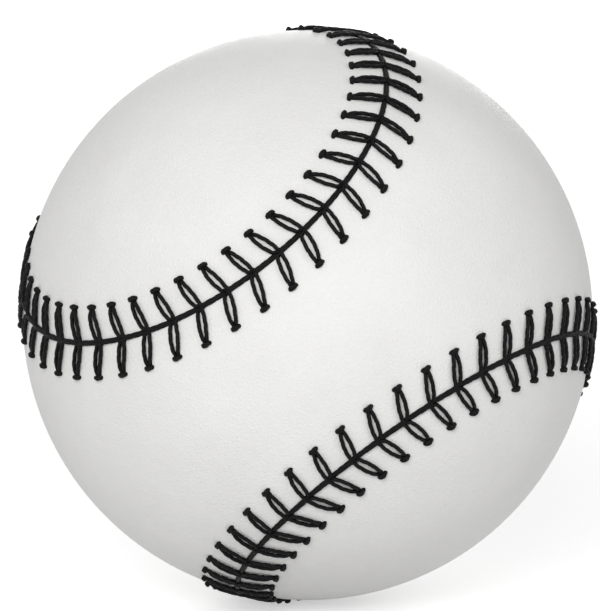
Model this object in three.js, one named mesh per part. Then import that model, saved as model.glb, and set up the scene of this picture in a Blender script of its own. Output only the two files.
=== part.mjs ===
// Baseball: a cork and rubber pill, four wound yarn layers and two figure-eight leather
// covers sewn together with two waxed threads. Millimetres, +Z up, origin at the ball's centre.
// The narrow waist of cover one faces -Y and the narrow waist of cover two faces +Y.
import * as THREE from "three";

// Pill: a cork ball inside two pairs of rubber half shells
const CORK_DIAMETER = 20.6;
const BLACK_RUBBER = 3.7;
const RED_RUBBER = 2.1;
const WASHER_THICKNESS = 1.2;

// Wound yarn, thickness of each layer
const FIRST_WINDING = 14;
const SECOND_WINDING = 1.5;
const THIRD_WINDING = 1.5;
const FINISHING_WINDING = 0.6;
const YARN_PASSAGE = 2.4;

// Clearance between one layer and the next, and between two rims
const LAYER_FIT = 0.3;

// Covers
const LEATHER = 1.25;
const WAIST_WIDTH = 26.4;
const BAND_SLOPE = 3.1;
const SEAM_TURN = THREE.MathUtils.degToRad(-8.3);

// Stitches, where a leg is one visible length of thread from its hole to the seam
const STITCHES_PER_LOBE = 27;
const LEG_REACH = 4.3;
const LEG_LEAN = THREE.MathUtils.degToRad(16);
const LEG_WIDTH = 1.2;
const LEG_THICKNESS = 0.42;
const THREAD_WIDTH = 0.5;
const THREAD_THICKNESS = 0.3;
const THREAD_FIT = 0.1;
const HOLE_FIT = 0.35;
const SEAM_FIT = 0.25;

// Facets round the layers and from pole to middle, and the share of the fit that a facet may take
const FACETS_ROUND = 16;
const FACETS_HALF = 4;
const FACET_SHARE = 0.7;

// Radii that follow from the layers, from the cork outwards
const corkRadius = CORK_DIAMETER / 2;
const blackInside = corkRadius + LAYER_FIT;
const blackOutside = blackInside + BLACK_RUBBER;
const redInside = blackOutside + LAYER_FIT;
const redOutside = redInside + RED_RUBBER;
const firstInside = redOutside + LAYER_FIT;
const firstOutside = firstInside + FIRST_WINDING;
const secondInside = firstOutside + LAYER_FIT;
const secondOutside = secondInside + SECOND_WINDING;
const thirdInside = secondOutside + LAYER_FIT;
const thirdOutside = thirdInside + THIRD_WINDING;
const finishingInside = thirdOutside + LAYER_FIT;
const finishingOutside = finishingInside + FINISHING_WINDING;
const coverInside = finishingOutside + LAYER_FIT;
const ballRadius = coverInside + LEATHER;

// The seam is four equal arcs, each a circle round the middle of one lobe.
const waistAngle = WAIST_WIDTH / 2 / ballRadius;
const lobeAngle = Math.atan2(Math.SQRT2 - Math.sin(waistAngle), Math.cos(waistAngle));
const lobeTilt = lobeAngle + waistAngle;
const arcHalf = Math.acos(-1 / (Math.tan(lobeTilt) * Math.tan(lobeAngle)));
const stitches = 4 * STITCHES_PER_LOBE;
const pitch = (2 * arcHalf * Math.sin(lobeAngle) * ballRadius) / STITCHES_PER_LOBE;

// A leg's hole lies behind the place where the leg enters the seam, by this share of the pitch.
const leanStations = (LEG_REACH * Math.tan(LEG_LEAN)) / pitch;
const holeHalf = THREAD_WIDTH / 2 + HOLE_FIT;
const seamGap = THREAD_THICKNESS + 2 * SEAM_FIT;
const bandWidth = LEG_REACH + holeHalf + BAND_SLOPE;

// Facets across a lobe, fine enough that the leather's inner face stays clear of the yarn
const acrossAngle = 2 * (lobeAngle - bandWidth / ballRadius);
const facetAngle = 2 * Math.acos(1 - (FACET_SHARE * LAYER_FIT) / coverInside);
const facetsAcross = Math.ceil(acrossAngle / facetAngle);

// The hidden run of thread lies between the yarn and the leather and lifts the leather by the seam.
const runLength = Math.hypot((1 - leanStations) * pitch, LEG_REACH);
const runSag = (runLength * runLength) / (8 * coverInside);
const seamLift = Math.max(0, THREAD_THICKNESS + 2 * THREAD_FIT + runSag - LAYER_FIT);
const runRadius = coverInside + seamLift - THREAD_FIT - THREAD_THICKNESS / 2;
const legRadius = ballRadius + seamLift + THREAD_FIT + LEG_THICKNESS / 2;

const COVER_ONE = 1;
const COVER_TWO = 2;

// Direction from the ball's centre to the place at a distance from the seam on one cover.
// Stations count stitches along the seam, 0 on the side of the ball at about -X.
function seamPlace(cover, station, distance) {
  const along = THREE.MathUtils.euclideanModulo(station / STITCHES_PER_LOBE, 4);
  const lobe = Math.floor(along);
  const swing = arcHalf * (2 * (along - lobe) - 1);
  const waist = new THREE.Vector3(0, lobe % 2 ? 1 : -1, 0);
  const lobeWay = 0.75 * Math.PI + SEAM_TURN - (lobe * Math.PI) / 2;
  const outward = new THREE.Vector3(Math.cos(lobeWay), 0, Math.sin(lobeWay));
  const forward = new THREE.Vector3(Math.sin(lobeWay), 0, -Math.cos(lobeWay));
  const middle = outward.clone().multiplyScalar(Math.sin(lobeTilt));
  middle.addScaledVector(waist, Math.cos(lobeTilt));
  const tip = outward.clone().multiplyScalar(-Math.cos(lobeTilt));
  tip.addScaledVector(waist, Math.sin(lobeTilt));
  const ownsLobe = (lobe % 2 ? COVER_ONE : COVER_TWO) === cover;
  const spread = lobeAngle + ((ownsLobe ? -1 : 1) * distance) / ballRadius;
  const rim = tip.multiplyScalar(Math.cos(swing)).addScaledVector(forward, Math.sin(swing));
  return middle.multiplyScalar(Math.cos(spread)).addScaledVector(rim, Math.sin(spread));
}

// Point on the great circle between two directions
function between(from, to, share) {
  const angle = from.angleTo(to);
  const start = Math.sin((1 - share) * angle) / Math.sin(angle);
  const end = Math.sin(share * angle) / Math.sin(angle);
  return from.clone().multiplyScalar(start).addScaledVector(to, end);
}

function meshFrom(points, faces, name, material) {
  const geometry = new THREE.BufferGeometry();
  const numbers = points.flatMap((point) => point.toArray());
  geometry.setAttribute("position", new THREE.Float32BufferAttribute(numbers, 3));
  geometry.setIndex(faces);
  geometry.computeVertexNormals();
  const mesh = new THREE.Mesh(geometry, material);
  mesh.name = name;
  return mesh;
}

// Round bodies about the Y axis from a closed profile, which runs so that the body is on its left
function turned(profile, name, material) {
  const points = [];
  const faces = [];
  const rings = profile.map(([radius, height]) => {
    const first = points.length;
    const count = radius > 1e-6 ? FACETS_ROUND : 1;
    for (let i = 0; i < count; i += 1) {
      const angle = (2 * Math.PI * i) / FACETS_ROUND;
      points.push(new THREE.Vector3(radius * Math.sin(angle), height, radius * Math.cos(angle)));
    }
    return (i) => first + (count > 1 ? i % FACETS_ROUND : 0);
  });
  rings.forEach((ring, k) => {
    const next = rings[(k + 1) % rings.length];
    for (let i = 0; i < FACETS_ROUND; i += 1) {
      if (ring(i) !== ring(i + 1)) faces.push(ring(i), ring(i + 1), next(i));
      if (next(i) !== next(i + 1)) faces.push(ring(i + 1), next(i + 1), next(i));
    }
  });
  return meshFrom(points, faces, name, material);
}

// Profile points of a round layer, at even angles from the -Y pole with its own last angle
function layerArc(radius, steps, lastAngle) {
  return Array.from({ length: steps + 1 }, (_, k) => {
    const angle = k < steps ? (k * Math.PI) / (2 * FACETS_HALF) : lastAngle;
    const across = angle < Math.PI ? radius * Math.sin(angle) : 0;
    return [across, -radius * Math.cos(angle)];
  });
}

function corkBall(material) {
  return turned(layerArc(corkRadius, 2 * FACETS_HALF, Math.PI), "cork_core", material);
}

// Half shell on the -Y side with its rim at a distance from the middle plane, or its twin on +Y
function rubberHalf(inside, outside, rimAt, front, name, material) {
  const rimAngle = (radius) => Math.acos(rimAt / radius);
  const outer = layerArc(outside, FACETS_HALF, rimAngle(outside));
  const inner = layerArc(inside, FACETS_HALF, rimAngle(inside)).reverse();
  const profile = [...outer, ...inner];
  if (front) return turned(profile, name, material);
  const twin = profile.map(([radius, height]) => [radius, -height]).reverse();
  return turned(twin, name, material);
}

function rubberWasher(material) {
  const half = WASHER_THICKNESS / 2;
  const inside = blackInside;
  const profile = [
    [inside, -half],
    [blackOutside, -half],
    [blackOutside, half],
    [inside, half],
  ];
  return turned(profile, "rubber_washer", material);
}

// Wound layer with a passage at the +Y pole, where the yarn's tail comes through
function winding(inside, outside, name, material) {
  const passageAngle = (radius) => Math.PI - Math.asin(YARN_PASSAGE / 2 / radius);
  const outer = layerArc(outside, 2 * FACETS_HALF, passageAngle(outside));
  const inner = layerArc(inside, 2 * FACETS_HALF, passageAngle(inside)).reverse();
  return turned([...outer, ...inner], name, material);
}

// One leather cover: a thick sheet with a hole for each stitch along its edge
function leatherCover(cover, name, material) {
  const points = [];
  const faces = [];
  const flipped = cover === COVER_ONE;
  const place = (direction, lift) => {
    points.push(direction.clone().multiplyScalar(ballRadius + lift));
    points.push(direction.clone().multiplyScalar(coverInside + lift));
    return points.length / 2 - 1;
  };
  const triangle = (a, b, c) => {
    const [p, q] = flipped ? [c, b] : [b, c];
    faces.push(2 * a, 2 * p, 2 * q, 2 * a + 1, 2 * q + 1, 2 * p + 1);
  };
  const wall = (a, b) => {
    const [p, q] = flipped ? [b, a] : [a, b];
    faces.push(2 * q, 2 * p, 2 * p + 1, 2 * q, 2 * p + 1, 2 * q + 1);
  };

  const columns = Array.from({ length: stitches }, (_, i) => i - leanStations);
  const edge = columns.map((at) => place(seamPlace(cover, at, seamGap / 2), seamLift));
  const bandWay = columns.map((at) => seamPlace(cover, at, bandWidth));
  const band = bandWay.map((direction) => place(direction, 0));

  for (let i = 0; i < stitches; i += 1) {
    const next = (i + 1) % stitches;
    const holeAt = columns[i] + 0.5;
    const middle = seamPlace(cover, holeAt, LEG_REACH);
    const away = seamPlace(cover, holeAt, LEG_REACH + 1).sub(middle);
    away.addScaledVector(middle, -away.dot(middle)).normalize();
    const ahead = seamPlace(cover, holeAt + 0.1, LEG_REACH).sub(middle);
    ahead.addScaledVector(middle, -ahead.dot(middle)).normalize();
    const corner = (way, size) =>
      place(middle.clone().addScaledVector(way, size / ballRadius).normalize(), seamLift);
    const near = corner(away, -holeHalf);
    const right = corner(ahead, holeHalf);
    const far = corner(away, holeHalf);
    const left = corner(ahead, -holeHalf);
    triangle(edge[i], edge[next], near);
    triangle(edge[next], right, near);
    triangle(edge[i], near, left);
    triangle(edge[next], band[next], right);
    triangle(band[next], far, right);
    triangle(band[next], band[i], far);
    triangle(band[i], left, far);
    triangle(band[i], edge[i], left);
    wall(edge[i], edge[next]);
    wall(right, near);
    wall(near, left);
    wall(left, far);
    wall(far, right);
  }

  // Inside the band the sheet runs from side to side, from the tip of one lobe to the other.
  const tipStation = (cover === COVER_ONE ? 1.5 : 0.5) * STITCHES_PER_LOBE;
  const tip = Math.round(tipStation + leanStations);
  const column = (i) => THREE.MathUtils.euclideanModulo(i, stitches);
  const rows = [];
  for (let k = 1; k < stitches / 2; k += 1) {
    const from = column(tip - k);
    const to = column(tip + k);
    const row = [band[from]];
    for (let i = 1; i < facetsAcross; i += 1) {
      row.push(place(between(bandWay[from], bandWay[to], i / facetsAcross), 0));
    }
    rows.push([...row, band[to]]);
  }
  const nearTip = band[column(tip)];
  const farTip = band[column(tip + stitches / 2)];
  for (let i = 0; i < facetsAcross; i += 1) {
    triangle(nearTip, rows[0][i + 1], rows[0][i]);
    for (let k = 0; k + 1 < rows.length; k += 1) {
      triangle(rows[k][i], rows[k][i + 1], rows[k + 1][i + 1]);
      triangle(rows[k][i], rows[k + 1][i + 1], rows[k + 1][i]);
    }
    triangle(rows.at(-1)[i], rows.at(-1)[i + 1], farTip);
  }
  return meshFrom(points, faces, name, material);
}

// One thread: up through a hole, over to the seam, down between the covers and on below the
// other cover to its next hole. The two threads take the two covers in turn.
function waxedThread(firstCover, name, material) {
  const points = [];
  const faces = [];
  const beside = THREAD_WIDTH / 2 + 2 * THREAD_FIT;
  const coverAt = (i) => (i % 2 === 0 ? firstCover : COVER_ONE + COVER_TWO - firstCover);
  const holePlace = (i) => seamPlace(coverAt(i), i + 0.5 - leanStations, LEG_REACH);
  const seamSide = (i) => (coverAt(i) === COVER_ONE ? -beside : beside) / pitch;
  const seamDive = (i) => seamPlace(coverAt(i), i + 0.5 + seamSide(i), 0);
  const level = (from, to) => {
    const way = to.clone().sub(from);
    return way.addScaledVector(from, -way.dot(from)).normalize();
  };
  const ring = (direction, radius, across, bend, width, thickness) => {
    const middle = direction.clone().multiplyScalar(radius);
    const sides = [across.clone().multiplyScalar(width / 2), bend.clone().multiplyScalar(thickness / 2)];
    points.push(middle.clone().add(sides[0]), middle.clone().add(sides[1]));
    points.push(middle.clone().sub(sides[0]), middle.clone().sub(sides[1]));
  };

  for (let i = 0; i < stitches; i += 1) {
    const turn = i % 2 === 0 ? 1 : -1;
    const hole = holePlace(i);
    const dive = seamDive(i);
    const halfway = between(hole, dive, 0.5);
    const leaving = level(hole, dive);
    const passing = level(halfway, dive);
    const arriving = level(dive, hole).negate();
    const acrossHole = hole.clone().cross(leaving).multiplyScalar(turn);
    const acrossLeg = halfway.clone().cross(passing).multiplyScalar(turn);
    const acrossDive = dive.clone().cross(arriving).multiplyScalar(turn);

    if (i > 0) {
      const coming = level(hole, seamDive(i - 1)).negate();
      const acrossRun = coming.clone().cross(hole).multiplyScalar(turn);
      const bend = hole.clone().sub(coming).multiplyScalar(turn);
      ring(hole, runRadius, acrossRun, bend, THREAD_WIDTH, THREAD_THICKNESS);
    } else {
      ring(hole, runRadius, acrossHole, leaving.clone(), THREAD_WIDTH, THREAD_THICKNESS);
    }
    const upBend = leaving.clone().sub(hole).multiplyScalar(turn);
    ring(hole, legRadius, acrossHole, upBend, THREAD_WIDTH, THREAD_THICKNESS);
    const legUp = halfway.clone().multiplyScalar(-turn);
    ring(halfway, legRadius, acrossLeg, legUp, LEG_WIDTH, LEG_THICKNESS);
    const downBend = dive.clone().add(arriving).multiplyScalar(-turn);
    ring(dive, legRadius, acrossDive, downBend, THREAD_WIDTH, THREAD_THICKNESS);
    if (i + 1 < stitches) {
      const going = level(dive, holePlace(i + 1));
      const acrossRun = dive.clone().cross(going).multiplyScalar(turn);
      const bend = dive.clone().add(going).multiplyScalar(-turn);
      ring(dive, runRadius, acrossRun, bend, THREAD_WIDTH, THREAD_THICKNESS);
    } else {
      const bend = arriving.clone().multiplyScalar(-turn);
      ring(dive, runRadius, acrossDive, bend, THREAD_WIDTH, THREAD_THICKNESS);
    }
  }

  const last = points.length - 4;
  for (let start = 0; start < last; start += 4) {
    for (let i = 0; i < 4; i += 1) {
      const a = start + i;
      const b = start + ((i + 1) % 4);
      faces.push(a, b + 4, b, a, a + 4, b + 4);
    }
  }
  faces.push(0, 1, 2, 0, 2, 3, last, last + 2, last + 1, last, last + 3, last + 2);
  return meshFrom(points, faces, name, material);
}

const finish = (color, roughness) => new THREE.MeshStandardMaterial({ color, roughness });
const cork = finish(0x8a5c38, 0.9);
const blackRubber = finish(0x1d1d1f, 0.7);
const redRubber = finish(0x8f2c27, 0.65);
const greyWool = finish(0x8b8a87, 0.95);
const whiteWool = finish(0xe4e0d5, 0.95);
const cotton = finish(0xefece3, 0.9);
const leather = finish(0xf3f1ec, 0.5);
const blackThread = finish(0x141416, 0.55);

const blackRim = WASHER_THICKNESS / 2 + LAYER_FIT;
const redRim = LAYER_FIT / 2;

const baseball = new THREE.Group();
baseball.name = "baseball";
baseball.add(
  corkBall(cork),
  rubberHalf(blackInside, blackOutside, blackRim, true, "inner_rubber_half_front", blackRubber),
  rubberHalf(blackInside, blackOutside, blackRim, false, "inner_rubber_half_back", blackRubber),
  rubberWasher(redRubber),
  rubberHalf(redInside, redOutside, redRim, true, "outer_rubber_half_front", redRubber),
  rubberHalf(redInside, redOutside, redRim, false, "outer_rubber_half_back", redRubber),
  winding(firstInside, firstOutside, "first_winding", greyWool),
  winding(secondInside, secondOutside, "second_winding", whiteWool),
  winding(thirdInside, thirdOutside, "third_winding", greyWool),
  winding(finishingInside, finishingOutside, "finishing_winding", cotton),
  leatherCover(COVER_ONE, "cover_panel_one", leather),
  leatherCover(COVER_TWO, "cover_panel_two", leather),
  waxedThread(COVER_ONE, "stitch_thread_one", blackThread),
  waxedThread(COVER_TWO, "stitch_thread_two", blackThread),
);

export default baseball;
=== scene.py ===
import math
import random

import bmesh
import bpy
from mathutils import Matrix, Vector, noise


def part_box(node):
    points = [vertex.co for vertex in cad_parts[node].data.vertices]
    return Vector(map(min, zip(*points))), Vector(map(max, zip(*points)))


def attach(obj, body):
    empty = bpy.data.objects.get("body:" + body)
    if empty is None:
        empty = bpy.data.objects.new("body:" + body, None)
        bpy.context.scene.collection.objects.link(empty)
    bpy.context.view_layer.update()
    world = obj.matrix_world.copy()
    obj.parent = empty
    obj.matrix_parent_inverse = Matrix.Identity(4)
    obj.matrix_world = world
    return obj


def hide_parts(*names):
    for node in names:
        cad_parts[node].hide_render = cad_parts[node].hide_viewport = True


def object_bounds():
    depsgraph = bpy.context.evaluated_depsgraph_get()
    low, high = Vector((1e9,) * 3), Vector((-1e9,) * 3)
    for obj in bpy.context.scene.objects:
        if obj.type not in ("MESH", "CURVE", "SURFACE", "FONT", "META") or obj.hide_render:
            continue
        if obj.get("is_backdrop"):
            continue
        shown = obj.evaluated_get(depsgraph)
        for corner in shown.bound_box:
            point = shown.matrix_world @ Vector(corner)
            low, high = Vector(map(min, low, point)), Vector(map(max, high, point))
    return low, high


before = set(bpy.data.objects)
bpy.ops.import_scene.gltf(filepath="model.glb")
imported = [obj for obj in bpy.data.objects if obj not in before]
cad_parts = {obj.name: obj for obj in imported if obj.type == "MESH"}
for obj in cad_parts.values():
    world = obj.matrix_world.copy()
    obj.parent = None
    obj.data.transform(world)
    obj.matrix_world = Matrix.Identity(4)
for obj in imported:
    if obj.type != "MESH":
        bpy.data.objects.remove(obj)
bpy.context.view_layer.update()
MM = 0.001
SAME_PLACE = 0.0005 * MM


def front_reach(node):
    """How far a node reaches to the front, which is the radius of a round layer."""
    return -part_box(node)[0][1]


# Pill: cork ball, rubber cups and the washer between them
LAYER_FIT = 0.3 * MM
CORK_RADIUS = front_reach("cork_core")
BLACK_OUTSIDE = front_reach("inner_rubber_half_front")
RED_OUTSIDE = front_reach("outer_rubber_half_front")
WASHER_HALF = front_reach("rubber_washer")
STEPS_ROUND = 72
STEPS_CUP = 22
RIM_ROUND = 0.3 * MM
CORK_SUBDIVISIONS = 6
GRANULE = 2.1 * MM
SHADE_SCALE = 7
CREVICE = 0.32 * MM
CREVICE_SHARE = 0.16
PIT = 0.5 * MM
PIT_DEPTH = 0.12 * MM

# Yarn: how the wraps' axis drifts and nods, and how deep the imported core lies, in thicknesses of yarn
YARN_OUTSIDE = front_reach("finishing_winding")
YARN_PASSAGE = 2.4 * MM
POINTS_PER_WRAP = 48
WRAP_DRIFT = 0.37
NODS = 5
PACKED_DEPTH = 1.1

# Ball and covers, as in the part's source
LEATHER = 1.25 * MM
COVER_INSIDE = YARN_OUTSIDE + LAYER_FIT
BALL_RADIUS = COVER_INSIDE + LEATHER
WAIST_WIDTH = 26.4 * MM
SEAM_TURN = math.radians(-8.3)
FIRST_LOBE = 0.75 * math.pi + SEAM_TURN
SEAM_LIFT = 0.29 * MM
COVER_ONE, COVER_TWO = 1, 2

# Band of leather that the thread lifts along the seam: level as far as this, then sloping to its end
BAND_FLAT = 3.6 * MM
BAND_END = 8.4 * MM

# Stitches, as in the part's source
LOBE_COUNT = 4
STITCHES_PER_LOBE = 27
STITCHES = LOBE_COUNT * STITCHES_PER_LOBE
LEG_REACH = 4.3 * MM
LEG_LEAN = math.radians(16)

# Seam of four equal arcs, each a circle round the middle of one lobe
WAIST_ANGLE = WAIST_WIDTH / 2 / BALL_RADIUS
LOBE_ANGLE = math.atan2(math.sqrt(2) - math.sin(WAIST_ANGLE), math.cos(WAIST_ANGLE))
LOBE_TILT = LOBE_ANGLE + WAIST_ANGLE
ARC_HALF = math.acos(-1 / (math.tan(LOBE_TILT) * math.tan(LOBE_ANGLE)))
PITCH = 2 * ARC_HALF * math.sin(LOBE_ANGLE) * BALL_RADIUS / STITCHES_PER_LOBE
LEAN_STATIONS = LEG_REACH * math.tan(LEG_LEAN) / PITCH

# Cut edges of the leather: they roll over into the seam, and the first rows carry painted shade, near
# black, that darkens the seam gap
SEAM_HALF_GAP = 0.26 * MM
EDGE_ROLL = 0.5 * MM
EDGE_DROP = 0.5 * MM
ROLL_SHARES = (0, 0.06, 0.22, 0.5, 1)
# Painted shade: how much of the near-black seam colour each of the first rows takes
EDGE_PAINTED_SHADE = (1.0, 0.9, 0.4)

# Leather drawn in by the stitches: dimples at the holes, grooves under the legs, puckers between them
HOLE_DIMPLE = 0.34 * MM
DIMPLE_SPREAD = 0.75 * MM
LEG_GROOVE = 0.12 * MM
GROOVE_SPREAD = 0.6 * MM
GROOVE_PAST_HOLE = 0.3 * MM
GROOVE_FADE = 0.6 * MM
PUCKER = 0.13 * MM
PUCKER_AT = 1.4 * MM
PUCKER_SPREAD = 2.4 * MM

# Rows and columns of the leather
ROWS_TO_HOLES = 9
ROWS_PAST_HOLES = 5
HOLE_ROWS_END = 6.2 * MM
ROWS_TO_BAND_END = 4
POINTS_PER_STITCH = 10
COLUMNS = STITCHES * POINTS_PER_STITCH
CUTS_ACROSS = 30

# Strand of waxed thread
STRAND_RADIUS = 0.28 * MM
PLIES = 3
POINTS_PER_PLY = 3
PLY_GROOVE = 0.2
TWIST_PER_MM = 1.7

# Legs of the stitches: two strands that part and meet again, by a stretch of a sine wave
LEG_SHARES = [0.03 + 0.055 * step for step in range(17)]
LEG_BOW = 0.49 * MM
BOW_WANDER = 0.05 * MM
BOW_START = 0.06
BOW_RUN = 0.78
BOW_FULLNESS = 0.85
LEG_PRESS = 0.85
CREST_FROM = 0.5
CREST_DROP = 0.2 * MM
HOLE_DEPTH = 0.4 * MM
HOLE_APART = 0.16 * MM

# Run along the seam, where the strands sink step by step to the next stitch
SEAM_SHARES = [0.1 * step for step in range(1, 11)]
SEAM_SIDE = 0.09 * MM
SEAM_APART = 0.1 * MM
SEAM_STEP = 0.06 * MM
RUN_DEPTH = 0.05 * MM
RUN_SINK = 0.37 * MM
RUN_CURVE = 1.5

# Hidden way down and under the other cover: stitches ahead, and distances from the seam
DIVE_AHEAD = 1.06
DIVE_SIDE = 0.05 * MM
DIVE_DEPTH = 0.95 * MM
UNDER_STEPS = ((1.02, 0.6 * MM), (0.86, 0.55 * LEG_REACH))
UNDER_APART = 0.2 * MM
UNDER_FIT = 0.04 * MM

# Head across the hole: steps in half lengths, rises off the dimple's floor, and thicknesses
HEAD_HALF = 0.46 * MM
HEAD_PAST_HOLE = 0.1 * MM
HEAD_SHAPE = (
    (-1.25, -0.08 * MM, 0.7),
    (-1.0, 0.16 * MM, 1.15),
    (-0.5, 0.33 * MM, 1.4),
    (0.0, 0.38 * MM, 1.45),
    (0.5, 0.33 * MM, 1.4),
    (1.0, 0.16 * MM, 1.15),
    (1.25, -0.08 * MM, 0.7),
)

# Studio floor
FLOOR_HALF = 4
FLOOR_TONE = 0.8
FLOOR_GLOW = 0.5

# Picture, in pixels: its longer side, the ball's radius, and how far the ball is off the middle
PICTURE_SIDE = 611
BALL_PIXELS = 285
BALL_RIGHT = 7.4
BALL_DOWN = 9.5

# Camera, with its distance in radii of the ball
SENSOR_WIDTH = 36
CAMERA_AWAY = 16
CAMERA_TURN = math.radians(-1.8)
CAMERA_LIFT = math.radians(8.5)

# Textures: how the creases of a pebbled surface and the lint of a yarn go with its cells and plies
CREASES_FINER = 1.9
CELLS_HIGHER = 1.6
PLY_MIDDLE = 0.5
LINT_SHARE = 0.6

# Sockets of a Mix node that mixes colours
MIX_FACTOR, MIX_A, MIX_B, MIX_RESULT = 0, 6, 7, 2


def place_piece(name, work, material, node):
    """Finished piece from its worked mesh, standing for a node of the frame."""
    for face in work.faces:
        face.smooth = True
    mesh = bpy.data.meshes.new(name)
    work.to_mesh(mesh)
    work.free()
    mesh.materials.append(material)
    piece = bpy.data.objects.new(name, mesh)
    bpy.context.scene.collection.objects.link(piece)
    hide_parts(node)
    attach(piece, "root")


def arc_from_front(work, radius, angle, steps):
    """Chain of points from the front pole round to an angle; gives back the last one."""
    first = work.verts.new((0, -radius, 0))
    made = bmesh.ops.spin(
        work, geom=[first], cent=(0, 0, 0), axis=(0, 0, 1), angle=angle, steps=steps
    )
    return next(part for part in made["geom_last"] if isinstance(part, bmesh.types.BMVert))


def turn_round(work, geom):
    """Turn a profile full circle about the axis through both poles."""
    others = set(work.faces)
    bmesh.ops.spin(
        work, geom=geom, cent=(0, 0, 0), axis=(0, 1, 0),
        angle=2 * math.pi, steps=STEPS_ROUND, use_merge=True,
    )
    bmesh.ops.remove_doubles(work, verts=work.verts, dist=SAME_PLACE)
    bmesh.ops.recalc_face_normals(work, faces=[face for face in work.faces if face not in others])


def from_axis(vert):
    return math.hypot(vert.co.x, vert.co.z)


def is_ring_edge(edge):
    """Whether an edge lies along a ring round the axis, and not along the profile."""
    first, last = edge.verts
    level = abs(first.co.y - last.co.y) < SAME_PLACE
    return level and abs(from_axis(first) - from_axis(last)) < SAME_PLACE


def round_rings(work, edges):
    bmesh.ops.bevel(
        work, geom=edges, offset=RIM_ROUND, affect="EDGES", segments=3, profile=0.5, material=-1
    )


def cork_ball(material):
    """Pressed cork: granules with open crevices between them."""
    work = bmesh.new()
    granule = work.verts.layers.float.new("granule")
    crevice = work.verts.layers.float.new("crevice")
    bmesh.ops.create_icosphere(work, subdivisions=CORK_SUBDIVISIONS, radius=CORK_RADIUS)
    for vert in work.verts:
        distances, centres = noise.voronoi(vert.co / GRANULE)
        gap = math.exp(-(((distances[1] - distances[0]) / CREVICE_SHARE) ** 2))
        vert[granule] = noise.cell(centres[0] * SHADE_SCALE)
        vert[crevice] = gap
        rough = 0.5 + 0.5 * noise.noise(vert.co / PIT)
        vert.co -= vert.co.normalized() * (CREVICE * gap + PIT_DEPTH * rough)
    place_piece("cork_ball", work, material, "cork_core")


def rubber_cup(name, node, inside, outside, rim, front, material):
    """Moulded half shell with a rounded rim."""
    work = bmesh.new()
    ends = [
        arc_from_front(work, radius, math.acos(rim / radius), STEPS_CUP)
        for radius in (outside, inside)
    ]
    work.edges.new(ends)
    turn_round(work, work.verts[:] + work.edges[:])
    rim_rings = [
        edge for edge in work.edges if is_ring_edge(edge) and abs(edge.verts[0].co.y + rim) < SAME_PLACE
    ]
    round_rings(work, rim_rings)
    if not front:
        bmesh.ops.rotate(work, verts=work.verts, cent=(0, 0, 0), matrix=Matrix.Rotation(math.pi, 3, "Z"))
    place_piece(name, work, material, node)


def rubber_ring(material):
    """Washer between the rims of the black cups."""
    work = bmesh.new()
    inside = CORK_RADIUS + LAYER_FIT
    corners = [
        work.verts.new((radius, level, 0))
        for radius, level in (
            (inside, -WASHER_HALF),
            (BLACK_OUTSIDE, -WASHER_HALF),
            (BLACK_OUTSIDE, WASHER_HALF),
            (inside, WASHER_HALF),
        )
    ]
    for count, corner in enumerate(corners):
        work.edges.new((corner, corners[(count + 1) % len(corners)]))
    turn_round(work, work.verts[:] + work.edges[:])
    round_rings(work, [edge for edge in work.edges if is_ring_edge(edge)])
    place_piece("rubber_ring", work, material, "rubber_washer")


def swept_mesh(route):
    """Worked mesh of a bevelled curve, with its end caps joined on."""
    holder = bpy.data.objects.new(route.name, route)
    bpy.context.scene.collection.objects.link(holder)
    ready = holder.evaluated_get(bpy.context.evaluated_depsgraph_get())
    mesh = bpy.data.meshes.new_from_object(ready)
    work = bmesh.new()
    work.from_mesh(mesh)
    bpy.data.objects.remove(holder)
    bpy.data.curves.remove(route)
    bpy.data.meshes.remove(mesh)
    bmesh.ops.remove_doubles(work, verts=work.verts, dist=SAME_PLACE)
    return work


def new_route(name):
    route = bpy.data.curves.new(name, "CURVE")
    route.dimensions = "3D"
    route.use_fill_caps = True
    return route


def winding_points(outside, yarn, depth, wraps):
    """Great circles whose axis drifts and nods evenly, each wrap a little higher than the one before."""
    points = []
    for count in range(wraps * POINTS_PER_WRAP + 1):
        turn = count / POINTS_PER_WRAP
        share = turn / wraps
        nod = math.acos(abs((2 * NODS * share + 1) % 2 - 1))
        along = 2 * math.pi * turn
        wrap = Vector((math.cos(along), math.sin(along) * math.sin(nod), math.sin(along) * math.cos(nod)))
        wrap.rotate(Matrix.Rotation(WRAP_DRIFT * turn, 3, "Y"))
        points.append(wrap * (outside - yarn / 2 - depth * (1 - share)))
    return points


def wound_layer(name, node, below, material, yarn, wraps, sides):
    """Packed yarn with its outermost wraps lying free on it, and a passage for the yarn's tail."""
    inside = below + LAYER_FIT
    outside = front_reach(node)
    packed = outside - PACKED_DEPTH * yarn
    route = new_route(name)
    route.bevel_depth = yarn / 2
    route.bevel_resolution = sides
    strand = route.splines.new("POLY")
    points = winding_points(outside, yarn, min(yarn, packed - inside), wraps)
    strand.points.add(len(points) - 1)
    for point, place in zip(strand.points, points):
        point.co = (*place, 1)
    work = swept_mesh(route)

    # The strand's UV map counts its length in thicknesses of yarn.
    length = sum((end - start).length for start, end in zip(points, points[1:]))
    strand_map = work.loops.layers.uv["UVMap"]
    for face in work.faces:
        for corner in face.loops:
            corner[strand_map].uv.x *= length / yarn

    wound = set(work.verts)
    ends = [
        arc_from_front(work, radius, math.pi - math.asin(YARN_PASSAGE / 2 / radius), 2 * STEPS_CUP)
        for radius in (packed, inside)
    ]
    work.edges.new(ends)
    profile = [vert for vert in work.verts if vert not in wound]
    turn_round(work, profile + list({edge for vert in profile for edge in vert.link_edges}))
    place_piece(name, work, material, node)


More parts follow.
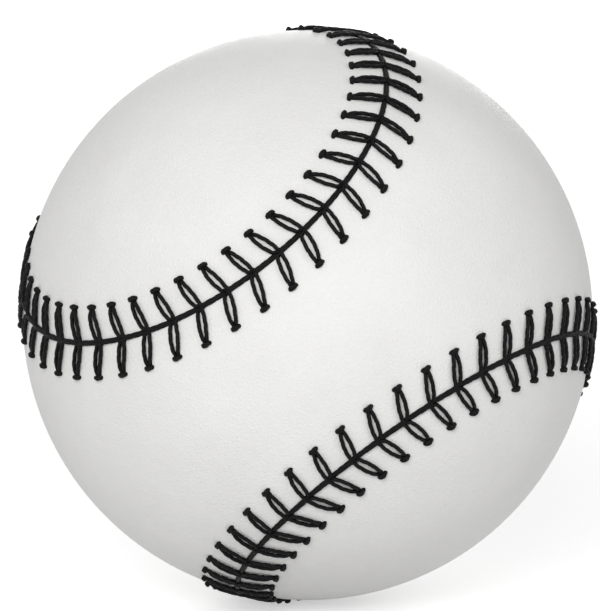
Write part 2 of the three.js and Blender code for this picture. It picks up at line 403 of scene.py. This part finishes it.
def lobe_axes(lobe):
    """Middle of a lobe, the way to its tip and the way the sewing goes round it."""
    waist = Vector((0, 1 if lobe % 2 else -1, 0))
    way = FIRST_LOBE - lobe * math.pi / 2
    outward = Vector((math.cos(way), 0, math.sin(way)))
    forward = Vector((math.sin(way), 0, -math.cos(way)))
    middle = outward * math.sin(LOBE_TILT) + waist * math.cos(LOBE_TILT)
    tip = waist * math.sin(LOBE_TILT) - outward * math.cos(LOBE_TILT)
    return middle, tip, forward


LOBES = [lobe_axes(lobe) for lobe in range(LOBE_COUNT)]


def other_cover(cover):
    return COVER_ONE + COVER_TWO - cover


def seam_spread(cover, lobe, distance):
    """Angle from the middle of a lobe to a place on a cover at a distance from the seam."""
    inside = (COVER_ONE if lobe % 2 else COVER_TWO) == cover
    return LOBE_ANGLE + (-distance if inside else distance) / BALL_RADIUS


def seam_place(cover, station, distance, shift=0.0):
    """Direction of the place at a distance from the seam, moved along the seam by shift metres."""
    lobe = int(station / STITCHES_PER_LOBE % LOBE_COUNT)
    if shift:
        spread = seam_spread(cover, lobe, distance)
        station += shift / PITCH * math.sin(LOBE_ANGLE) / math.sin(spread)
    along = station / STITCHES_PER_LOBE % LOBE_COUNT
    lobe = int(along)
    swing = ARC_HALF * (2 * (along - lobe) - 1)
    middle, tip, forward = LOBES[lobe]
    spread = seam_spread(cover, lobe, distance)
    rim = tip * math.cos(swing) + forward * math.sin(swing)
    return middle * math.cos(spread) + rim * math.sin(spread)


def smooth_step(value):
    value = min(max(value, 0.0), 1.0)
    return value * value * (3 - 2 * value)


def band_lift(distance):
    return SEAM_LIFT * (1 - smooth_step((distance - BAND_FLAT) / (BAND_END - BAND_FLAT)))


def column_station(column, distance):
    """Columns of the leather lean as the stitches do, so that each leg lies along one column."""
    return column - LEAN_STATIONS * min(distance / LEG_REACH, 1.0)


def leather_height(column, distance):
    """How far the worked leather stands off the plain ball."""
    share = column % 1.0
    aside = (share - 0.5) * PITCH
    height = band_lift(distance)
    rise = (distance - SEAM_HALF_GAP) / EDGE_ROLL
    if rise < 1:
        height -= EDGE_DROP * (1 - math.sqrt(max(0.0, 1 - (1 - rise) ** 2)))
    from_hole = aside ** 2 + (distance - LEG_REACH) ** 2
    height -= HOLE_DIMPLE * math.exp(-from_hole / DIMPLE_SPREAD ** 2)
    under_leg = smooth_step((LEG_REACH + GROOVE_PAST_HOLE - distance) / GROOVE_FADE)
    height -= LEG_GROOVE * under_leg * math.exp(-((aside / GROOVE_SPREAD) ** 2))
    swell = math.exp(-(((distance - PUCKER_AT) / PUCKER_SPREAD) ** 2))
    return height + PUCKER * swell * math.cos(2 * math.pi * share)


def even_rows(start, end, count):
    return [start + (end - start) * (step + 1) / count for step in range(count)]


def seam_rows():
    """Distances from the seam of the rows of leather, close together where the edge rolls over."""
    rows = [SEAM_HALF_GAP + EDGE_ROLL * share for share in ROLL_SHARES]
    rows += even_rows(rows[-1], LEG_REACH, ROWS_TO_HOLES)
    rows += even_rows(LEG_REACH, HOLE_ROWS_END, ROWS_PAST_HOLES)
    rows += even_rows(HOLE_ROWS_END, BAND_END, ROWS_TO_BAND_END)
    return rows


def vert_layers(work, *names):
    """Values of a worked mesh's points, by their names."""
    return [work.verts.layers.float[name] for name in names]


def sewn_band(work, cover, rows):
    """Rows of leather, in from the sewn edge; gives back the edges along the last row."""
    at_column, at_row, inside, painted_edge_shade = vert_layers(work, "at_column", "at_row", "inside", "painted_edge_shade")
    verts = bmesh.ops.create_circle(work, segments=COLUMNS, radius=BALL_RADIUS)["verts"]
    for count, vert in enumerate(verts):
        vert[at_column] = count
    edges = work.edges[:]
    for row, distance in enumerate(rows):
        if row:
            grown = bmesh.ops.extrude_edge_only(work, edges=edges)["geom"]
            verts = [part for part in grown if isinstance(part, bmesh.types.BMVert)]
            edges = [part for part in grown if isinstance(part, bmesh.types.BMEdge)]
        for vert in verts:
            column = vert[at_column] / POINTS_PER_STITCH
            way = seam_place(cover, column_station(column, distance), distance)
            vert.co = way * (BALL_RADIUS + leather_height(column, distance))
            vert[at_row] = row
            vert[inside] = COVER_INSIDE + band_lift(distance)
            # Painted shade in the seam gap: the first rows take the near-black mask
            vert[painted_edge_shade] = EDGE_PAINTED_SHADE[row] if row < len(EDGE_PAINTED_SHADE) else 0.0
    return edges


def fill_middle(work, cover, edges, row):
    """Middle of a cover, which runs from side to side between the tips of its two lobes."""
    at_column, at_row, inside, painted_edge_shade = vert_layers(work, "at_column", "at_row", "inside", "painted_edge_shade")
    lobe_tip = (1.5 if cover == COVER_ONE else 0.5) * STITCHES_PER_LOBE + LEAN_STATIONS
    tip = round(lobe_tip * POINTS_PER_STITCH)
    banded = set(work.verts)

    def off_tips(vert):
        return (round(vert[at_column]) - tip) % (COLUMNS // 2) != 0

    sides = [edge for edge in edges if all(off_tips(vert) for vert in edge.verts)]
    across = bmesh.ops.bridge_loops(work, edges=sides)["edges"]
    bmesh.ops.holes_fill(work, edges=edges + across, sides=3)
    bmesh.ops.subdivide_edges(work, edges=across, cuts=CUTS_ACROSS, use_grid_fill=True)
    bmesh.ops.triangulate(work, faces=[face for face in work.faces if len(face.verts) > 4])
    for vert in work.verts:
        if vert not in banded:
            vert.co = vert.co.normalized() * BALL_RADIUS
            vert[at_row] = row
            vert[inside] = COVER_INSIDE
            vert[painted_edge_shade] = 0.0


def prick_holes(work, hole_row):
    """Holes in the leather, one for each leg of the stitches."""
    at_column, at_row = vert_layers(work, "at_column", "at_row")
    middle = POINTS_PER_STITCH // 2

    def by_hole(vert):
        aside = round(vert[at_column]) % POINTS_PER_STITCH - middle
        return abs(aside) <= 1 and abs(round(vert[at_row]) - hole_row) <= 1

    pricked = [face for face in work.faces if all(by_hole(vert) for vert in face.verts)]
    bmesh.ops.delete(work, geom=pricked, context="FACES")


def back_leather(work):
    """Give the leather its thickness, with its back towards the yarn."""
    inside = work.verts.layers.float["inside"]
    outer = set(work.verts)
    bmesh.ops.extrude_face_region(work, geom=work.faces[:])
    for vert in work.verts:
        if vert not in outer:
            vert.co = vert.co.normalized() * vert[inside]
    bmesh.ops.recalc_face_normals(work, faces=work.faces)


def leather_cover(cover, name, node, material):
    """One leather panel: its sewn band and its middle, then its holes and its back."""
    work = bmesh.new()
    for layer in ("at_column", "at_row", "inside", "painted_edge_shade"):
        work.verts.layers.float.new(layer)
    rows = seam_rows()
    edges = sewn_band(work, cover, rows)
    fill_middle(work, cover, edges, len(rows))
    prick_holes(work, rows.index(LEG_REACH))
    back_leather(work)
    place_piece(name, work, material, node)


def ply_section():
    """Section of a strand: plies laid together, with grooves between them."""
    section = bpy.data.curves.new("ply_section", "CURVE")
    section.dimensions = "2D"
    outline = section.splines.new("POLY")
    outline.points.add(PLIES * POINTS_PER_PLY - 1)
    outline.use_cyclic_u = True
    for count, point in enumerate(outline.points):
        angle = -2 * math.pi * count / len(outline.points)
        reach = STRAND_RADIUS * (1 - PLY_GROOVE * (1 - abs(math.sin(PLIES * angle / 2))))
        point.co = (reach * math.cos(angle), reach * math.sin(angle), 0, 1)
    holder = bpy.data.objects.new("ply_section", section)
    bpy.context.scene.collection.objects.link(holder)
    return holder


def leg_points(cover, stitch, strand, wander):
    """One strand of one stitch: up through the hole, over the leather, along the seam and down into it."""
    other = other_cover(cover)
    dive = stitch + 0.5
    hole = dive - LEAN_STATIONS
    top = BALL_RADIUS + SEAM_LIFT
    under = YARN_OUTSIDE + STRAND_RADIUS + UNDER_FIT
    points = []

    def add(side, station, distance, radius, shift):
        points.append(seam_place(side, station, distance, shift) * radius)

    add(cover, hole, LEG_REACH, under, strand * UNDER_APART)
    add(cover, hole, LEG_REACH, BALL_RADIUS - HOLE_DEPTH, strand * HOLE_APART)
    for share in LEG_SHARES:
        distance = LEG_REACH * (1 - share)
        bow = (LEG_BOW + wander) * math.sin(math.pi * (BOW_START + BOW_RUN * share)) ** BOW_FULLNESS
        height = leather_height(dive + strand * bow / PITCH, distance)
        if share > CREST_FROM:
            height = max(height, SEAM_LIFT - CREST_DROP)
        lying = height + LEG_PRESS * STRAND_RADIUS
        add(cover, column_station(dive, distance), distance, BALL_RADIUS + lying, strand * bow)
    for share in SEAM_SHARES:
        depth = RUN_DEPTH + RUN_SINK * share ** RUN_CURVE
        lying = top - depth + strand * SEAM_STEP
        add(cover, dive + share, SEAM_SIDE, lying, strand * SEAM_APART)
    add(other, dive + DIVE_AHEAD, DIVE_SIDE, top - DIVE_DEPTH, strand * SEAM_APART)
    for ahead, distance in UNDER_STEPS:
        add(other, dive + ahead, distance, under, strand * UNDER_APART)
    return points


def head_points(cover, stitch):
    """Short bight that the thread makes across its hole, drawn in at both ends."""
    hole = stitch + 0.5 - LEAN_STATIONS
    floor = BALL_RADIUS + SEAM_LIFT - HOLE_DIMPLE
    return [
        seam_place(cover, hole, LEG_REACH + HEAD_PAST_HOLE, HEAD_HALF * along) * (floor + rise)
        for along, rise, _ in HEAD_SHAPE
    ]


def lay_strand(route, points, sizes):
    """Strand along its points, twisted steadily; tilts stay within a turn, as Blender stops at sixty."""
    strand = route.splines.new("POLY")
    strand.points.add(len(points) - 1)
    turned = 0.0
    for count, point in enumerate(strand.points):
        if count:
            turned += (points[count] - points[count - 1]).length / MM * TWIST_PER_MM
        point.co = (*points[count], 1)
        point.tilt = turned % (2 * math.pi)
        point.radius = sizes[count]


def waxed_thread(first_cover, name, node, material, section):
    """Doubled thread of one needle, which takes a stitch in each cover by turns, and its heads."""
    chance = random.Random(first_cover)
    route = new_route(name)
    route.bevel_mode = "OBJECT"
    route.bevel_object = section
    covers = [first_cover if stitch % 2 == 0 else other_cover(first_cover) for stitch in range(STITCHES)]
    wanders = [chance.uniform(-BOW_WANDER, BOW_WANDER) for _ in range(STITCHES)]
    for strand in (-1, 1):
        points = []
        for stitch in range(STITCHES):
            turn = strand if stitch % 2 == 0 else -strand
            points += leg_points(covers[stitch], stitch, turn, wanders[stitch])
        lay_strand(route, points, [1.0] * len(points))
    head_sizes = [size for _, _, size in HEAD_SHAPE]
    for stitch in range(STITCHES):
        lay_strand(route, head_points(covers[stitch], stitch), head_sizes)
    place_piece(name, swept_mesh(route), material, node)


def add_node(tree, kind, inputs=None, **settings):
    """New node with its settings and the values of its unlinked inputs."""
    made = tree.nodes.new(kind)
    for name, value in settings.items():
        setattr(made, name, value)
    for name, value in (inputs or {}).items():
        made.inputs[name].default_value = value
    return made


def new_group(name, inputs, outputs):
    """Empty shader group with its named sockets, and its two end nodes."""
    group = bpy.data.node_groups.new(name, "ShaderNodeTree")
    for socket, kind in inputs.items():
        group.interface.new_socket(socket, in_out="INPUT", socket_type="NodeSocket" + kind)
    for socket, kind in outputs.items():
        group.interface.new_socket(socket, in_out="OUTPUT", socket_type="NodeSocket" + kind)
    return group, add_node(group, "NodeGroupInput"), add_node(group, "NodeGroupOutput")


def mottle_group():
    """Uneven tone that drifts from one colour to another."""
    group, given, result = new_group(
        "mottle",
        {"Vector": "Vector", "Scale": "Float", "Dark": "Color", "Light": "Color"},
        {"Tone": "Color", "Spread": "Float"},
    )
    cloud = add_node(group, "ShaderNodeTexNoise", {"Detail": 5, "Roughness": 0.6})
    spread = add_node(group, "ShaderNodeMapRange", {"From Min": 0.3, "From Max": 0.7})
    tone = add_node(group, "ShaderNodeMix", data_type="RGBA")
    group.links.new(given.outputs["Vector"], cloud.inputs["Vector"])
    group.links.new(given.outputs["Scale"], cloud.inputs["Scale"])
    group.links.new(cloud.outputs["Fac"], spread.inputs["Value"])
    group.links.new(spread.outputs["Result"], tone.inputs[MIX_FACTOR])
    group.links.new(given.outputs["Dark"], tone.inputs[MIX_A])
    group.links.new(given.outputs["Light"], tone.inputs[MIX_B])
    group.links.new(tone.outputs[MIX_RESULT], result.inputs["Tone"])
    group.links.new(spread.outputs["Result"], result.inputs["Spread"])
    return group


def pebble_group():
    """Pebbled surface: small cells with fine creases over them."""
    group, given, result = new_group("pebble", {"Vector": "Vector", "Scale": "Float"}, {"Height": "Float"})
    cells = add_node(group, "ShaderNodeTexVoronoi", feature="DISTANCE_TO_EDGE")
    finer = add_node(group, "ShaderNodeMath", {1: CREASES_FINER}, operation="MULTIPLY")
    creases = add_node(group, "ShaderNodeTexNoise", {"Detail": 3})
    height = add_node(group, "ShaderNodeMath", {1: CELLS_HIGHER}, operation="MULTIPLY_ADD")
    group.links.new(given.outputs["Vector"], cells.inputs["Vector"])
    group.links.new(given.outputs["Vector"], creases.inputs["Vector"])
    group.links.new(given.outputs["Scale"], cells.inputs["Scale"])
    group.links.new(given.outputs["Scale"], finer.inputs[0])
    group.links.new(finer.outputs[0], creases.inputs["Scale"])
    group.links.new(cells.outputs["Distance"], height.inputs[0])
    group.links.new(creases.outputs["Fac"], height.inputs[2])
    group.links.new(height.outputs[0], result.inputs["Height"])
    return group


def yarn_lay_group():
    """Twisted plies along a strand, from its own UV map, with loose lint over them."""
    group, given, result = new_group(
        "yarn_lay",
        {"UV": "Vector", "Vector": "Vector", "Turns": "Float", "Plies": "Float", "Lint Scale": "Float"},
        {"Ply": "Float", "Height": "Float"},
    )
    parts = add_node(group, "ShaderNodeSeparateXYZ")
    along = add_node(group, "ShaderNodeMath", operation="MULTIPLY")
    lay = add_node(group, "ShaderNodeMath", operation="ADD")
    count = add_node(group, "ShaderNodeMath", operation="MULTIPLY")
    share = add_node(group, "ShaderNodeMath", operation="FRACT")
    ply = add_node(group, "ShaderNodeMath", {1: PLY_MIDDLE}, operation="PINGPONG")
    lint = add_node(group, "ShaderNodeTexNoise", {"Detail": 4, "Roughness": 0.65})
    height = add_node(group, "ShaderNodeMath", {1: LINT_SHARE}, operation="MULTIPLY_ADD")
    group.links.new(given.outputs["UV"], parts.inputs[0])
    group.links.new(parts.outputs["X"], along.inputs[0])
    group.links.new(given.outputs["Turns"], along.inputs[1])
    group.links.new(along.outputs[0], lay.inputs[0])
    group.links.new(parts.outputs["Y"], lay.inputs[1])
    group.links.new(lay.outputs[0], count.inputs[0])
    group.links.new(given.outputs["Plies"], count.inputs[1])
    group.links.new(count.outputs[0], share.inputs[0])
    group.links.new(share.outputs[0], ply.inputs[0])
    group.links.new(given.outputs["Vector"], lint.inputs["Vector"])
    group.links.new(given.outputs["Lint Scale"], lint.inputs["Scale"])
    group.links.new(lint.outputs["Fac"], height.inputs[0])
    group.links.new(ply.outputs[0], height.inputs[2])
    group.links.new(ply.outputs[0], result.inputs["Ply"])
    group.links.new(height.outputs[0], result.inputs["Height"])
    return group


MOTTLE = mottle_group()
PEBBLE = pebble_group()
YARN_LAY = yarn_lay_group()


def new_material(name, shader_inputs):
    """Material with its shader's plain values, and its Object coordinates."""
    material = bpy.data.materials.new(name)
    material.use_nodes = True
    tree = material.node_tree
    shader = tree.nodes["Principled BSDF"]
    for socket, value in shader_inputs.items():
        shader.inputs[socket].default_value = value
    return material, tree, shader, add_node(tree, "ShaderNodeTexCoord")


def add_mottle(tree, where, scale, dark, light):
    inputs = {"Scale": scale, "Dark": (*dark, 1), "Light": (*light, 1)}
    mottle = add_node(tree, "ShaderNodeGroup", inputs, node_tree=MOTTLE)
    tree.links.new(where.outputs["Object"], mottle.inputs["Vector"])
    return mottle


def add_pebble(tree, where, scale):
    pebble = add_node(tree, "ShaderNodeGroup", {"Scale": scale}, node_tree=PEBBLE)
    tree.links.new(where.outputs["Object"], pebble.inputs["Vector"])
    return pebble.outputs["Height"]


def add_lay(tree, shader, where, tone, turns, plies, lint_scale):
    """Paint shade into a strand's colour in the grooves between its plies, and give back their height."""
    along = add_node(tree, "ShaderNodeUVMap", uv_map="UVMap")
    inputs = {"Turns": turns, "Plies": plies, "Lint Scale": lint_scale}
    lay = add_node(tree, "ShaderNodeGroup", inputs, node_tree=YARN_LAY)
    # Painted shade: the colour drops to 0.45 of its tone in the grooves between plies
    groove_shade = add_node(tree, "ShaderNodeMapRange", {"From Max": 0.2, "To Min": 0.45, "To Max": 1.0})
    shaded = add_node(tree, "ShaderNodeMix", {MIX_FACTOR: 1.0}, data_type="RGBA", blend_type="MULTIPLY")
    tree.links.new(along.outputs["UV"], lay.inputs["UV"])
    tree.links.new(where.outputs["Object"], lay.inputs["Vector"])
    tree.links.new(lay.outputs["Ply"], groove_shade.inputs["Value"])
    tree.links.new(tone, shaded.inputs[MIX_A])
    tree.links.new(groove_shade.outputs["Result"], shaded.inputs[MIX_B])
    tree.links.new(shaded.outputs[MIX_RESULT], shader.inputs["Base Color"])
    return lay.outputs["Height"]


def add_roughness(tree, shader, value, smooth, rough):
    spread = add_node(tree, "ShaderNodeMapRange", {"To Min": smooth, "To Max": rough})
    tree.links.new(value, spread.inputs["Value"])
    tree.links.new(spread.outputs["Result"], shader.inputs["Roughness"])


def add_bump(tree, shader, height, strength, depth):
    bump = add_node(tree, "ShaderNodeBump", {"Strength": strength, "Distance": depth})
    tree.links.new(height, bump.inputs["Height"])
    tree.links.new(bump.outputs["Normal"], shader.inputs["Normal"])


def white_leather():
    """White pebbled hide, with painted shade near black along its cut edges down in the seam."""
    material, tree, shader, where = new_material(
        "sewn_white_leather", {"IOR": 1.45, "Specular IOR Level": 0.2}
    )
    mottle = add_mottle(tree, where, scale=85, dark=(0.82, 0.815, 0.80), light=(0.87, 0.867, 0.855))
    edge = add_node(tree, "ShaderNodeAttribute", attribute_name="painted_edge_shade")
    # Painted shade: the rolled cut edges in the seam gap are coloured near black
    edge_shade_paint = add_node(tree, "ShaderNodeMix", {MIX_B: (0.012, 0.011, 0.011, 1)}, data_type="RGBA")
    tree.links.new(edge.outputs["Fac"], edge_shade_paint.inputs[MIX_FACTOR])
    tree.links.new(mottle.outputs["Tone"], edge_shade_paint.inputs[MIX_A])
    tree.links.new(edge_shade_paint.outputs[MIX_RESULT], shader.inputs["Base Color"])
    add_roughness(tree, shader, mottle.outputs["Spread"], smooth=0.46, rough=0.62)
    add_bump(tree, shader, add_pebble(tree, where, scale=2000), strength=0.5, depth=0.1 * MM)
    return material


def black_thread():
    """Black thread with a dull coat of wax and some lint."""
    material, tree, shader, where = new_material(
        "waxed_black_thread", {"IOR": 1.45, "Specular IOR Level": 0.11}
    )
    lint = add_mottle(tree, where, scale=5200, dark=(0.002, 0.002, 0.0025), light=(0.011, 0.011, 0.012))
    height = add_lay(tree, shader, where, lint.outputs["Tone"], turns=0, plies=PLIES, lint_scale=6000)
    add_roughness(tree, shader, lint.outputs["Spread"], smooth=0.42, rough=0.7)
    add_bump(tree, shader, height, strength=0.6, depth=0.1 * MM)
    return material


def moulded_rubber(name, dark, light):
    """Rubber with a matt bloom on it and the fine pebble of its mould."""
    material, tree, shader, where = new_material(name, {"IOR": 1.5, "Specular IOR Level": 0.4})
    bloom = add_mottle(tree, where, scale=260, dark=dark, light=light)
    tree.links.new(bloom.outputs["Tone"], shader.inputs["Base Color"])
    add_roughness(tree, shader, bloom.outputs["Spread"], smooth=0.55, rough=0.8)
    add_bump(tree, shader, add_pebble(tree, where, scale=3600), strength=0.25, depth=0.05 * MM)
    return material


def pressed_cork():
    """Speckled cork, each granule of its own tone, with painted shade darkening the crevices."""
    material, tree, shader, where = new_material("pressed_cork", {"IOR": 1.4, "Specular IOR Level": 0.2})
    speckle = add_mottle(tree, where, scale=1500, dark=(0.19, 0.10, 0.05), light=(0.36, 0.21, 0.11))
    granule = add_node(tree, "ShaderNodeAttribute", attribute_name="granule")
    crevice = add_node(tree, "ShaderNodeAttribute", attribute_name="crevice")
    pale = add_node(tree, "ShaderNodeMix", {MIX_B: (0.52, 0.33, 0.18, 1)}, data_type="RGBA")
    share = add_node(tree, "ShaderNodeMapRange", {"To Min": 0.0, "To Max": 0.7})
    # Painted shade: the crevices between granules are coloured dark brown
    crevice_shade = add_node(tree, "ShaderNodeMix", {MIX_B: (0.07, 0.035, 0.018, 1)}, data_type="RGBA")
    tree.links.new(granule.outputs["Fac"], share.inputs["Value"])
    tree.links.new(share.outputs["Result"], pale.inputs[MIX_FACTOR])
    tree.links.new(speckle.outputs["Tone"], pale.inputs[MIX_A])
    tree.links.new(crevice.outputs["Fac"], crevice_shade.inputs[MIX_FACTOR])
    tree.links.new(pale.outputs[MIX_RESULT], crevice_shade.inputs[MIX_A])
    tree.links.new(crevice_shade.outputs[MIX_RESULT], shader.inputs["Base Color"])
    add_roughness(tree, shader, speckle.outputs["Spread"], smooth=0.8, rough=0.95)
    add_bump(tree, shader, speckle.outputs["Spread"], strength=0.5, depth=0.12 * MM)
    return material


def spun_yarn(name, dark, light, turns, plies, lint_scale):
    """Spun yarn of twisted plies; its turns are counted for each thickness of yarn along it."""
    material, tree, shader, where = new_material(name, {"Specular IOR Level": 0.2, "Sheen Weight": 0.25})
    heather = add_mottle(tree, where, scale=900, dark=dark, light=light)
    height = add_lay(tree, shader, where, heather.outputs["Tone"], turns, plies, lint_scale)
    add_roughness(tree, shader, heather.outputs["Spread"], smooth=0.85, rough=1.0)
    add_bump(tree, shader, height, strength=0.6, depth=0.15 * MM)
    return material


def looked_at(tree):
    """Mask of the rays that see the background itself, directly, by gloss or through glass."""
    path = add_node(tree, "ShaderNodeLightPath")
    gloss = add_node(tree, "ShaderNodeMath", operation="ADD", use_clamp=True)
    glass = add_node(tree, "ShaderNodeMath", operation="ADD", use_clamp=True)
    tree.links.new(path.outputs["Is Camera Ray"], gloss.inputs[0])
    tree.links.new(path.outputs["Is Glossy Ray"], gloss.inputs[1])
    tree.links.new(gloss.outputs[0], glass.inputs[0])
    tree.links.new(path.outputs["Is Transmission Ray"], glass.inputs[1])
    return glass.outputs[0]


def studio_floor(level):
    """Pale floor that takes the ball's shadow and glows only where it is looked at."""
    work = bmesh.new()
    bmesh.ops.create_grid(work, x_segments=1, y_segments=1, size=FLOOR_HALF)
    bmesh.ops.translate(work, verts=work.verts, vec=(0, 0, level))
    mesh = bpy.data.meshes.new("studio_floor")
    work.to_mesh(mesh)
    work.free()
    floor = bpy.data.objects.new("studio_floor", mesh)
    bpy.context.scene.collection.objects.link(floor)
    material = bpy.data.materials.new("studio_floor")
    material.use_nodes = True
    tree = material.node_tree
    tree.nodes.remove(tree.nodes["Principled BSDF"])
    paper = add_node(tree, "ShaderNodeBsdfDiffuse", {"Color": (FLOOR_TONE, FLOOR_TONE, FLOOR_TONE, 1)})
    glow = add_node(tree, "ShaderNodeEmission", {"Strength": FLOOR_GLOW})
    both = add_node(tree, "ShaderNodeAddShader")
    seen = add_node(tree, "ShaderNodeMixShader")
    tree.links.new(paper.outputs[0], both.inputs[0])
    tree.links.new(glow.outputs[0], both.inputs[1])
    tree.links.new(looked_at(tree), seen.inputs[0])
    tree.links.new(paper.outputs[0], seen.inputs[1])
    tree.links.new(both.outputs[0], seen.inputs[2])
    tree.links.new(seen.outputs[0], tree.nodes["Material Output"].inputs["Surface"])
    mesh.materials.append(material)
    floor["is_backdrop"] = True


def studio_world(strength):
    """Soft light from all around, and plain white where the world is looked at."""
    world = bpy.data.worlds.new("studio_world")
    world.use_nodes = True
    tree = world.node_tree
    soft = tree.nodes["Background"]
    soft.inputs["Color"].default_value = (1, 1, 1, 1)
    soft.inputs["Strength"].default_value = strength
    white = add_node(tree, "ShaderNodeBackground", {"Color": (1, 1, 1, 1), "Strength": 1})
    seen = add_node(tree, "ShaderNodeMixShader")
    tree.links.new(looked_at(tree), seen.inputs[0])
    tree.links.new(soft.outputs[0], seen.inputs[1])
    tree.links.new(white.outputs[0], seen.inputs[2])
    tree.links.new(seen.outputs[0], tree.nodes["World Output"].inputs["Surface"])
    bpy.context.scene.world = world


def soft_lamp(name, place, size, power):
    """Round area lamp that faces the ball."""
    lamp = bpy.data.lights.new(name, "AREA")
    lamp.shape = "DISK"
    lamp.size = size
    lamp.energy = power
    holder = bpy.data.objects.new(name, lamp)
    holder.location = place
    holder.rotation_euler = (-Vector(place)).to_track_quat("-Z", "Y").to_euler()
    bpy.context.scene.collection.objects.link(holder)


def photo_camera():
    """Level camera at the picture's angle, with the ball placed as in the picture's frame."""
    back = Vector((
        math.sin(CAMERA_TURN) * math.cos(CAMERA_LIFT),
        -math.cos(CAMERA_TURN) * math.cos(CAMERA_LIFT),
        math.sin(CAMERA_LIFT),
    ))
    lens = bpy.data.cameras.new("photo_camera")
    lens.sensor_width = SENSOR_WIDTH
    lens.lens = SENSOR_WIDTH * BALL_PIXELS / PICTURE_SIDE * math.sqrt(CAMERA_AWAY ** 2 - 1)
    lens.shift_x = -BALL_RIGHT / PICTURE_SIDE
    lens.shift_y = BALL_DOWN / PICTURE_SIDE
    lens.clip_start = 0.01
    lens.clip_end = 50
    camera = bpy.data.objects.new("photo_camera", lens)
    camera.location = back * (CAMERA_AWAY * BALL_RADIUS)
    camera.rotation_euler = (-back).to_track_quat("-Z", "Y").to_euler()
    bpy.context.scene.collection.objects.link(camera)
    bpy.context.scene.camera = camera


# Pill
black_rubber = moulded_rubber(
    "moulded_black_rubber", dark=(0.008, 0.008, 0.009), light=(0.022, 0.022, 0.024)
)
red_rubber = moulded_rubber(
    "moulded_red_rubber", dark=(0.20, 0.018, 0.014), light=(0.33, 0.035, 0.027)
)
cork_ball(pressed_cork())
for side in ("front", "back"):
    rubber_cup(
        "black_cup_" + side, "inner_rubber_half_" + side,
        inside=CORK_RADIUS + LAYER_FIT, outside=BLACK_OUTSIDE, rim=WASHER_HALF + LAYER_FIT,
        front=side == "front", material=black_rubber,
    )
    rubber_cup(
        "red_cup_" + side, "outer_rubber_half_" + side,
        inside=BLACK_OUTSIDE + LAYER_FIT, outside=RED_OUTSIDE, rim=LAYER_FIT / 2,
        front=side == "front", material=red_rubber,
    )
rubber_ring(red_rubber)

# Yarn
grey_wool = spun_yarn(
    "spun_grey_wool", dark=(0.16, 0.157, 0.152), light=(0.34, 0.335, 0.325),
    turns=0.3, plies=4, lint_scale=4200,
)
white_wool = spun_yarn(
    "spun_white_wool", dark=(0.62, 0.60, 0.54), light=(0.80, 0.78, 0.72),
    turns=0.26, plies=3, lint_scale=5200,
)
cotton_yarn = spun_yarn(
    "spun_cotton", dark=(0.72, 0.70, 0.65), light=(0.87, 0.855, 0.81),
    turns=0.22, plies=2, lint_scale=7000,
)
wound_layer(
    "thick_grey_winding", "first_winding", RED_OUTSIDE, grey_wool,
    yarn=1.9 * MM, wraps=100, sides=2,
)
wound_layer(
    "white_winding", "second_winding", front_reach("first_winding"), white_wool,
    yarn=0.95 * MM, wraps=220, sides=1,
)
wound_layer(
    "thin_grey_winding", "third_winding", front_reach("second_winding"), grey_wool,
    yarn=0.95 * MM, wraps=220, sides=1,
)
wound_layer(
    "cotton_winding", "finishing_winding", front_reach("third_winding"), cotton_yarn,
    yarn=0.46 * MM, wraps=470, sides=0,
)

# Covers and the sewing that joins them
leather = white_leather()
thread = black_thread()
leather_cover(COVER_ONE, "leather_cover_one", "cover_panel_one", leather)
leather_cover(COVER_TWO, "leather_cover_two", "cover_panel_two", leather)
section = ply_section()
waxed_thread(COVER_ONE, "waxed_thread_one", "stitch_thread_one", thread, section)
waxed_thread(COVER_TWO, "waxed_thread_two", "stitch_thread_two", thread, section)
bpy.data.objects.remove(section)

# Studio
studio_floor(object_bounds()[0][2])
studio_world(strength=0.42)
soft_lamp("key_lamp", place=(-0.25, -1.1, 0.5), size=0.6, power=7.9)
soft_lamp("fill_lamp", place=(0.9, -0.8, 0.4), size=0.8, power=1.5)
soft_lamp("back_lamp", place=(0.1, 1.2, 0.22), size=0.5, power=5.2)
photo_camera()
bpy.context.scene.view_settings.view_transform = "Standard"
